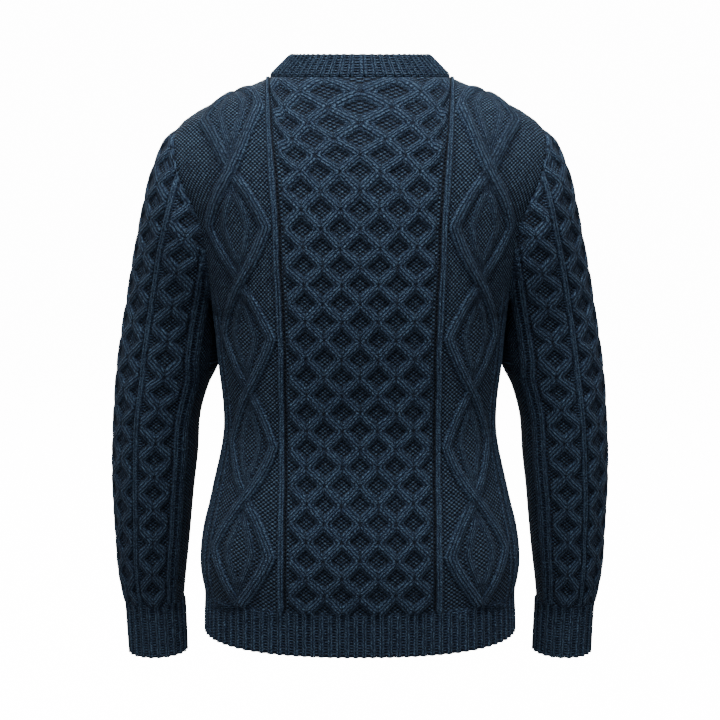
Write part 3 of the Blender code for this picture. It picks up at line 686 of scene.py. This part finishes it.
sleeve = {
    "cuffAt": 580.0,
    "end": 646.0,
    "level": 315.0,   # from here down, the rows lie level
    "sewnTo": 9.0,   # where the cap has turned from the armhole into the sleeve
    "straightEnds": (255.0, 335.0),   # from here the knitting follows the sleeve
    "cuffEase": (580.0, 594.0),   # where the columns change from strands to ribs
    "cuffMix": (579.0, 583.0),   # where the cables end and the ribs start
    "halfCells": 28,   # from the armhole to the cuff
    "countFrom": 700.0,   # rows of stitches are counted up from here
    "rowStep": 2.55,
    "columns": (56, 9, 40, 9, 4, 10, 8, 6),   # of points, between the places in columnsAt
    "insideEvery": 8,
    "insideColumns": 40,
    "strandStep": 21.7,   # in degrees round from the outer line, as all that follow
    "strandHalf": 7.2,
    "cells": 3.0,
    "cellsTrim": 2.0,
    "lines": (68.0, 122.5),
    "lineTwin": 1.8,
    "lineHalf": 2.0,
    "ladders": ((70.5, 72.0, 74.0, 76.0), (125.0, 126.5, 129.0, 131.0)),
    "singleAt": 94.5,
    "rope": 137.0,
    "ropeHalf": 5.8,
    "columnsAt": (0.0, 63.5, 72.4, 118.0, 127.0, 131.0, 143.0, 161.0, 180.0),
}


def armholePoint(turn):   # the armhole's edge, a turn from the shoulder tip, and its normal
    middle = 0.5 * (body["tip"] + body["armpit"])
    z = middle + 0.5 * (body["tip"] - body["armpit"]) * np.cos(turn)
    back = np.sin(turn) >= 0.0
    y = np.where(back, armholeDepth(1, z), -armholeDepth(-1, z))
    point = np.stack([edgeX(z), y, z], axis=-1)
    normal = np.where(back[..., None], bodyNormal(1, point), bodyNormal(-1, point))
    return point, normal


def sewnPoint(turn):   # the sleeve's own edge, one seam gap away from the armhole
    step = 0.01
    point, normal = armholePoint(turn)
    along = armholePoint(turn + step)[0] - armholePoint(turn - step)[0]
    away = unit(np.cross(along, normal))
    away = away * np.sign(away[..., :1] + 0.45 * away[..., 2:])
    return point + away * cloth["seamGap"], normal


def sleeveSection(at, turn):
    outerX, outerZ, innerX, innerZ, middle, half = (
        smoothLine(sleeveSections, at, column) for column in range(6)
    )
    across = np.cos(turn)
    x = 0.5 * (outerX + innerX) + 0.5 * (outerX - innerX) * across
    z = 0.5 * (outerZ + innerZ) + 0.5 * (outerZ - innerZ) * across
    return np.stack([x, middle + half * np.sin(turn), z], axis=-1)


def sleeveGround(at, turn):
    sewn = sewnPoint(turn)[0]
    whole = sleeveSection(np.maximum(at, sleeve["sewnTo"]), turn)
    share = np.clip(at / sleeve["sewnTo"], 0.0, 1.0)[..., None]
    return sewn + share * (whole - sewn)


def sleeveNormal(at, turn):
    step = 0.02
    reach = 2.0
    roundIt = sleeveGround(at, turn + step) - sleeveGround(at, turn - step)
    below = sleeveGround(np.minimum(at + reach, sleeve["end"]), turn)
    above = sleeveGround(np.maximum(at - reach, 0.0), turn)
    share = np.clip(at / sleeve["sewnTo"], 0.0, 1.0)[..., None]
    return unit((1.0 - share) * sewnPoint(turn)[1] + share * unit(np.cross(below - above, roundIt)))


def sleeveRelief(turn, knit):
    relief = emptyRelief(turn)
    step, half = sleeve["strandStep"], sleeve["strandHalf"]
    addHoneycomb(relief, turn, knit, step, half, sleeve["cells"] * step - sleeve["cellsTrim"])
    addHoneycomb(relief, turn - sleeve["singleAt"], knit + 0.5 * knitting["cell"], step, half, step)
    for line in sleeve["lines"]:
        for offset in (-sleeve["lineTwin"], sleeve["lineTwin"]):
            beside = turn - line - offset
            addStrand(relief, beside, sleeve["lineHalf"], cloth["raisedLine"], 0.5, 0.25)
    rope = turn - sleeve["rope"]
    addStrand(relief, rope, sleeve["ropeHalf"], cloth["raisedLine"] * ropeTwist(rope, knit))
    for start, full, fullEnd, end in sleeve["ladders"]:
        relief["ladder"] += easeIn(turn, start, full) * (1.0 - easeIn(turn, fullEnd, end))
    return relief


def sleevePattern(ground, at, turn):   # the knitting runs straight up and the armhole cuts it off
    step = 2.0
    outerLine = np.arange(0.0, sleeve["end"], step)
    outerX, outerZ, innerX = (smoothLine(sleeveSections, outerLine, column) for column in (0, 1, 2))
    placed = np.interp(-ground[..., 2], -outerZ, outerLine)
    half = 0.5 * (outerX - innerX)[int(sleeve["level"] / step)]
    inward = np.interp(placed, outerLine, outerX) - ground[..., 0]
    straight = np.degrees(np.arccos(np.clip(1.0 - inward / half, -1.0, 1.0)))
    share = easeIn(at, *sleeve["straightEnds"])
    return straight + share * (turn - straight), placed + share * (at - placed)


def makeSleeve(name, hand, seed):
    cuff = sleeve["cuffAt"]
    sleeveRows = np.linspace(0.0, cuff, int(cuff / sleeve["rowStep"]), endpoint=False)
    cuffRows = int((sleeve["end"] - cuff) / sleeve["rowStep"]) + 1
    rows = np.concatenate([sleeveRows, np.linspace(cuff, sleeve["end"], cuffRows)])
    columns = sum(sleeve["columns"]) + 1
    gauge = sleeve["halfCells"] * 0.5 * knitting["cell"] / (cuff - sleeve["sewnTo"])
    even = np.tile(np.linspace(0.0, 180.0, columns), (len(rows), 1))
    places = np.tile(np.array(sleeve["columnsAt"])[:, None, None], (1, *even.shape))
    share = 1.0 - easeIn(rows, *sleeve["cuffEase"])[:, None]
    half = even + share * (spreadColumns(places, sleeve["columns"]) - even)
    halfRound = np.radians(np.linspace(0.0, 180.0, 90))
    cuffLine = sleeveSection(np.full(90, 0.5 * (cuff + sleeve["end"])), halfRound)
    cuffLength = float(lengthUp(cuffLine[:, None])[-1, 0])
    halfPitches = int(round(2.0 * cuffLength / knitting["cuffPitch"]))
    turn = np.radians(allRound(half, odd=True))
    at = np.tile(rows[:, None], (1, turn.shape[1]))
    ground = sleeveGround(at, turn)
    patternTurn, patternAt = sleevePattern(ground, at, allRound(half))
    wander = strayed(patternTurn, patternAt, seed)
    knit = (patternAt - sleeve["sewnTo"]) * gauge
    cables = sleeveRelief(patternTurn + wander, knit + cloth["wanderUp"] * wander)
    ribs = ribRelief(allRound(half) / 180.0 * halfPitches + 1.0)
    share = 1.0 - easeIn(rows, *sleeve["cuffMix"])[:, None]
    relief = mixRelief(ribs, cables, share)
    down = lengthUp(ground)
    width = ringWidth(ground)
    across = turn / (2.0 * math.pi) * width
    fade = easeIn(at, 0.0, cloth["seamFade"] + 2.0)
    outer = raisedPoints(ground, sleeveNormal(at, turn), relief, fade, across, down, seed)
    insideRows = np.append(rows[:-1:sleeve["insideEvery"]], rows[-1])
    columns = sleeve["insideColumns"]
    insideTurn = np.radians(np.linspace(0.0, 360.0, columns + 1)[:-1])
    insideTurn = np.tile(insideTurn, (len(insideRows), 1))
    insideAt = np.tile(insideRows[:, None], (1, columns))
    insideGround = sleeveGround(insideAt, insideTurn)
    inner = insideGround - sleeveNormal(insideAt, insideTurn) * cloth["wall"]
    insideAcross = insideTurn / (2.0 * math.pi) * ringWidth(insideGround)
    mossAcross = np.radians(patternTurn) / (2.0 * math.pi) * np.minimum(width, width[len(rows) // 2])
    start = sleeve["countFrom"]
    mossPlace = (mossAcross, start - patternAt)
    insidePlace = (insideAcross, start - lengthUp(insideGround))
    facts = knitFacts(relief, start - down, mossPlace, insidePlace)
    turned = np.array([hand, 1.0, 1.0])
    return makeShell(name, outer * turned, inner * turned, facts, closed=True)


def allRound(half, odd=False):   # from the outer line round the back, and home by the front
    front = -half[:, -2:0:-1] if odd else half[:, -2:0:-1]
    return np.concatenate([half, front], axis=1)


def ringWidth(points):   # the length round each ring
    closed = np.concatenate([points, points[:, :1]], axis=1)
    return np.sum(np.linalg.norm(np.diff(closed, axis=1), axis=-1), axis=1)[:, None]


# Neckband

band = {
    "rise": 25.0,
    "topHalf": 77.0,
    "middle": -8.0,
    "lean": 0.2,
    "ribsFrom": 0.12,
    "edgeFrom": 0.9,   # shares of the height between which the ribs sink to the edge
    "edgeSink": 0.45,
    "rows": 16,
    "columnsPerRib": 10,
    "insideEvery": 5,
}


def bandPoint(share, turn):
    lap = (turn / math.pi) % 2.0
    back = lap < 1.0
    flats = knitting["lineAt"] * np.abs(1.0 - 2.0 * (lap % 1.0))
    backX, backZ = topPlace(1, flats)
    frontX, frontZ = topPlace(-1, flats)
    left = np.where((lap > 0.5) & (lap < 1.5), -1.0, 1.0)
    backGround = bodyPoint(1, backX, backZ)
    frontGround = bodyPoint(-1, frontX, frontZ)
    ground = np.where(back[..., None], backGround, frontGround)
    narrow = 1.0 - share * (1.0 - band["topHalf"] / body["neckHalf"])
    x = left * ground[..., 0] * narrow
    y = band["middle"] + (ground[..., 1] - band["middle"]) * (1.0 - share * band["lean"])
    return np.stack([x, y, ground[..., 2] + share * band["rise"]], axis=-1)


def bandNormal(share, turn):
    step = 0.006
    roundIt = bandPoint(share, turn + step) - bandPoint(share, turn - step)
    upIt = bandPoint(share + 0.1, turn) - bandPoint(share, turn)
    return unit(np.cross(roundIt, upIt))


def makeBand(name, seed):
    edgeTurn = np.linspace(0.0, 2.0 * math.pi, 721)[None, :-1]
    edgeLength = float(ringWidth(bandPoint(np.zeros_like(edgeTurn), edgeTurn))[0, 0])
    ribs = int(round(edgeLength / knitting["bandPitch"]))
    columns = ribs * band["columnsPerRib"]
    seam = cloth["seamGap"] / band["rise"]
    rows = np.linspace(seam, 1.0, band["rows"])
    turn = np.tile(2.0 * math.pi * np.arange(columns) / columns, (len(rows), 1))
    share = np.tile(rows[:, None], (1, columns))
    relief = ribRelief(turn / (2.0 * math.pi) * 2.0 * ribs - 0.5)
    ground = bandPoint(share, turn)
    up = lengthUp(ground)
    across = turn / (2.0 * math.pi) * ringWidth(ground)
    sink = band["edgeSink"] * easeIn(share, band["edgeFrom"], 1.0)
    fade = easeIn(share, 0.0, band["ribsFrom"]) * (1.0 - sink)
    outer = raisedPoints(ground, bandNormal(share, turn), relief, fade, across, up, seed)
    every = band["insideEvery"]
    insideTurn = turn[::every, ::every]
    insideShare = share[::every, ::every]
    insideGround = bandPoint(insideShare, insideTurn)
    inner = insideGround - bandNormal(insideShare, insideTurn) * cloth["wall"]
    insideAcross = insideTurn / (2.0 * math.pi) * ringWidth(insideGround)
    facts = knitFacts(relief, up, (across, up), (insideAcross, lengthUp(insideGround)))
    return makeShell(name, outer, inner, facts, closed=True)


# Wool

wool = {
    # painted shade: the colour laid where the stitches sink, standing in for the shade down between them
    "paintedShadeColour": (0.0008, 0.0015, 0.0032),   # down between the stitches
    "navy": (0.014, 0.027, 0.050),
    "indigo": (0.011, 0.019, 0.044),
    # painted highlight: a paler blue laid on the highest parts of the stitches
    "paintedHighlight": (0.055, 0.098, 0.150),   # where a ply catches the light
    "fleck": (0.16, 0.22, 0.29),
    # how strongly the painted shade in the recesses and grooves lowers the colour
    "paintedShadeStrength": 0.6,
    "groundTone": 1.15,   # how bright the plain ground is beside a strand
    "bumpDepth": 1.4,   # in millimetres
    "strayScale": 170.0,   # sizes of the noises, for each metre
    "patchScale": 28.0,
    "tuftScale": 620.0,
    "fibreScale": 1900.0,
    "stray": (0.35, 0.7),   # how far a stitch strays, across and up, in stitches
    "legSlant": 2.2,
    "legRound": 0.9,
    "rowRound": 0.7,
    "rowDeep": 0.7,
    "tuftBump": 0.25,
    "fibreBump": 0.22,
    "contrast": 0.9,
    "mossRange": (-0.3, 0.6),
    "paintedShadeRange": (0.0, 0.6),
    "paintedHighlightRange": (0.55, 1.25),
    "tuftTone": ((0.32, 0.68), (0.3, 1.5)),
    "fleckShare": ((0.6, 0.76), (0.0, 0.6)),
    "shine": 0.1,
    "roughness": 0.88,
    "sheen": 0.04,
    "sheenRoughness": 0.45,
    "sheenTint": (0.42, 0.56, 0.80),
}


def feed(tree, slot, value):   # a socket is linked, and a number or a colour is set
    if isinstance(value, bpy.types.NodeSocket):
        tree.links.new(value, slot)
    else:
        slot.default_value = (*value, 1.0) if isinstance(value, tuple) else value


def addNode(tree, kind, settings=None, **inputs):
    node = tree.nodes.new(kind)
    for key, value in (settings or {}).items():
        setattr(node, key, value)
    for key, value in inputs.items():
        feed(tree, node.inputs[key.replace("_", " ")], value)
    return node


def calc(tree, operation, *values):   # one sum, its values being sockets or numbers
    node = tree.nodes.new("ShaderNodeMath")
    node.operation = operation
    for slot, value in zip(node.inputs, values):
        feed(tree, slot, value)
    return node.outputs[0]


def parts(tree, name):   # the three numbers of a stored attribute
    source = addNode(tree, "ShaderNodeAttribute", {"attribute_name": name})
    split = addNode(tree, "ShaderNodeSeparateXYZ", Vector=source.outputs["Vector"])
    return [split.outputs[axis] for axis in "XYZ"]


def noise(tree, where, scale, detail=2.0):
    return addNode(tree, "ShaderNodeTexNoise", Vector=where, Scale=scale, Detail=detail).outputs["Fac"]


def mapped(tree, value, before, after=(0.0, 1.0)):   # one range turned into another and held in it
    return addNode(tree, "ShaderNodeMapRange", Value=value, From_Min=before[0], From_Max=before[1],
                   To_Min=after[0], To_Max=after[1]).outputs["Result"]


def mixColour(tree, share, one, other):
    node = tree.nodes.new("ShaderNodeMix")
    node.data_type = "RGBA"
    for slot, value in ((0, share), (6, one), (7, other)):
        feed(tree, node.inputs[slot], value)
    return node.outputs[2]


def woolMaterial(name):
    material = bpy.data.materials.new(name)
    material.use_nodes = True
    tree = material.node_tree
    shader = tree.nodes["Principled BSDF"]
    where = addNode(tree, "ShaderNodeTexCoord").outputs["Object"]
    stitchX, stitchY, _ = parts(tree, "stitch")
    groundX, groundY, _ = parts(tree, "ground")
    strand, ladder, recessShade = parts(tree, "kind")

    # hand-made wander of the stitches
    wander = calc(tree, "SUBTRACT", noise(tree, where, wool["strayScale"]), 0.5)
    stitchX = calc(tree, "MULTIPLY_ADD", wander, wool["stray"][0], stitchX)
    stitchY = calc(tree, "MULTIPLY_ADD", wander, wool["stray"][1], stitchY)

    # knit stitches: two legs that meet in a V
    leg = calc(tree, "ABSOLUTE", calc(tree, "SUBTRACT", calc(tree, "FRACT", stitchX), 0.5))
    section = calc(tree, "ABSOLUTE", calc(tree, "SINE", calc(tree, "MULTIPLY", leg, 2.0 * math.pi)))
    row = calc(tree, "SUBTRACT", stitchY, calc(tree, "MULTIPLY", leg, wool["legSlant"]))
    row = calc(tree, "SINE", calc(tree, "MULTIPLY", calc(tree, "FRACT", row), math.pi))
    row = calc(tree, "POWER", row, wool["rowRound"])
    row = calc(tree, "MULTIPLY_ADD", row, wool["rowDeep"], 1.0 - wool["rowDeep"])
    knitHeight = calc(tree, "MULTIPLY", calc(tree, "POWER", section, wool["legRound"]), row)

    # moss ground: small bumps set like a chequerboard, which read as slanting lines
    mossX = calc(tree, "COSINE", calc(tree, "MULTIPLY", groundX, math.pi / cloth["mossWide"]))
    mossY = calc(tree, "COSINE", calc(tree, "MULTIPLY", groundY, math.pi / cloth["mossHigh"]))
    moss = mapped(tree, calc(tree, "MULTIPLY", mossX, mossY), wool["mossRange"])

    # purl ladder: small bars one above another
    bars = calc(tree, "SINE", calc(tree, "MULTIPLY", groundY, 2.0 * math.pi / cloth["stitchHigh"]))
    bars = calc(tree, "MULTIPLY_ADD", bars, 0.5, 0.5)
    ground = calc(tree, "ADD", calc(tree, "MULTIPLY", moss, calc(tree, "SUBTRACT", 1.0, ladder)),
                  calc(tree, "MULTIPLY", bars, ladder))
    ground = calc(tree, "MULTIPLY", ground, wool["groundTone"])
    height = calc(tree, "ADD", calc(tree, "MULTIPLY", knitHeight, strand),
                  calc(tree, "MULTIPLY", ground, calc(tree, "SUBTRACT", 1.0, strand)))

    # spun fibres, in two sizes
    fibres = noise(tree, where, wool["fibreScale"], 3.0)
    tufts = noise(tree, where, wool["tuftScale"], 3.0)
    fuzzy = calc(tree, "MULTIPLY", tufts, wool["tuftBump"])
    fuzzy = calc(tree, "MULTIPLY_ADD", fibres, wool["fibreBump"], fuzzy)
    bumpHeight = calc(tree, "ADD", height, fuzzy)

    # colour: patches of two blues, painted shade between the stitches, and a painted highlight where the
    # plies stand out
    patches = noise(tree, where, wool["patchScale"], 4.0)
    colour = mixColour(tree, patches, wool["navy"], wool["indigo"])
    # painted light and shade: the tone follows the stitches' height, times the tufts' random tone
    tone = calc(tree, "POWER", height, wool["contrast"])
    tone = calc(tree, "MULTIPLY", tone, mapped(tree, tufts, *wool["tuftTone"]))
    # painted shade in the recesses and grooves
    paintedShadeFactor = calc(tree, "SUBTRACT", 1.0, calc(tree, "MULTIPLY", recessShade, wool["paintedShadeStrength"]))
    tone = calc(tree, "MULTIPLY", tone, paintedShadeFactor)
    colour = mixColour(tree, mapped(tree, tone, wool["paintedShadeRange"]), wool["paintedShadeColour"], colour)
    # painted highlight on the high parts of the stitches
    colour = mixColour(tree, mapped(tree, tone, wool["paintedHighlightRange"]), colour, wool["paintedHighlight"])
    colour = mixColour(tree, mapped(tree, fibres, *wool["fleckShare"]), colour, wool["fleck"])

    deepest = wool["bumpDepth"] * mm
    bump = addNode(tree, "ShaderNodeBump", Strength=1.0, Distance=deepest, Height=bumpHeight)
    tree.links.new(colour, shader.inputs["Base Color"])
    tree.links.new(bump.outputs["Normal"], shader.inputs["Normal"])
    shader.inputs["Roughness"].default_value = wool["roughness"]
    shader.inputs["Sheen Weight"].default_value = wool["sheen"]
    shader.inputs["Sheen Roughness"].default_value = wool["sheenRoughness"]
    shader.inputs["Sheen Tint"].default_value = (*wool["sheenTint"], 1.0)
    shader.inputs["Specular IOR Level"].default_value = wool["shine"]
    return material


yarn = woolMaterial("heatheredWool")
knitted = {
    "back": makePanel("aran_back", 1, 1.0),
    "front": makePanel("aran_front", -1, 2.0),
    "sleeve_left": makeSleeve("aran_sleeve_left", 1.0, 3.0),
    "sleeve_right": makeSleeve("aran_sleeve_right", -1.0, 4.0),
    "neckband": makeBand("aran_neckband", 5.0),
}
for node, piece in knitted.items():
    piece.data.materials.append(yarn)
    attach(piece, "root")
    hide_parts(node)
    print("knitted", piece.name, len(piece.data.polygons), "faces")


# Studio: a pale floor well below, soft light from above, and a white surround

studio = {
    "floorLevel": -0.95,
    "surround": 0.5,
    "backdropGlow": 14.0,
    "backdropSize": 24.0,
    "cameraAway": 2.0,
    "picture": 720.0,   # width of the picture in pixels
    "focal": 1745.0,   # the lens, in the same pixels
    "below": 283.0,   # how far the view is aimed below the neck, in the same pixels
    "sensor": 36.0,
    "paint": (0.94, 0.94, 0.94),
    "lampAim": -0.32,   # the level that the lamps are aimed at
}
lamps = {
    # name: place, size, power, colour
    "keyLight": ((1.2, 1.9, 2.2), 1.0, 37.0, (1.0, 0.98, 0.95)),
    "fillLight": ((-1.9, 1.9, 0.5), 1.8, 9.0, (0.93, 0.96, 1.0)),
    "topLight": ((0.0, 0.6, 2.0), 1.2, 115.0, (1.0, 1.0, 1.0)),
    "frontLight": ((0.6, -2.4, 1.2), 1.8, 50.0, (1.0, 0.99, 0.97)),
}


def makeStudio():   # a white floor and a white tent round it, seen but giving no light
    paint = bpy.data.materials.new("paleStudio")
    paint.use_nodes = True
    shader = paint.node_tree.nodes["Principled BSDF"]
    shader.inputs["Base Color"].default_value = (*studio["paint"], 1.0)
    shader.inputs["Emission Color"].default_value = (1.0, 1.0, 1.0, 1.0)
    shader.inputs["Emission Strength"].default_value = studio["backdropGlow"]
    half = 0.5 * studio["backdropSize"]
    low = studio["floorLevel"]
    square = ((-half, -half), (half, -half), (half, half), (-half, half))
    corners = [(x, y, z) for z in (low, low + half) for x, y in square]
    sides = [(0, 1, 5, 4), (1, 2, 6, 5), (2, 3, 7, 6), (3, 0, 4, 7), (4, 5, 6, 7)]
    for name, faces in (("floor", [(0, 1, 2, 3)]), ("tent", sides)):
        mesh = bpy.data.meshes.new(name)
        used = corners[:4] if name == "floor" else corners
        mesh.from_pydata(used, [], faces)
        mesh.materials.append(paint)
        surface = addObject(name, mesh)
        surface.visible_diffuse = False
        surface.visible_glossy = False
        surface.visible_shadow = False


def makeLamp(name, place, size, power, colour):
    light = bpy.data.lights.new(name, "AREA")
    light.size = size
    light.energy = power
    light.color = colour
    lamp = addObject(name, light)
    lamp.location = place
    aim = np.array([0.0, 0.0, studio["lampAim"]]) - np.array(place)
    tilt = math.atan2(math.hypot(aim[0], aim[1]), -aim[2])
    lamp.rotation_euler = (tilt, 0.0, math.atan2(aim[1], aim[0]) - 0.5 * math.pi)


makeStudio()
for name, (place, size, power, colour) in lamps.items():
    makeLamp(name, place, size, power, colour)
world = bpy.data.worlds.new("studio")
world.use_nodes = True
world.node_tree.nodes["Background"].inputs["Color"].default_value = (1.0, 1.0, 1.0, 1.0)
world.node_tree.nodes["Background"].inputs["Strength"].default_value = studio["surround"]
bpy.context.scene.world = world

lens = bpy.data.cameras.new("camera")
lens.lens = studio["sensor"] * studio["focal"] / studio["picture"]
lens.sensor_width = studio["sensor"]
lens.clip_end = 100.0
camera = addObject("camera", lens)
camera.location = (0.0, studio["cameraAway"], 0.0)
tilt = math.atan(studio["below"] / studio["focal"])
camera.rotation_euler = (0.5 * math.pi - tilt, 0.0, math.pi)
bpy.context.scene.camera = camera
print("lights and camera set")
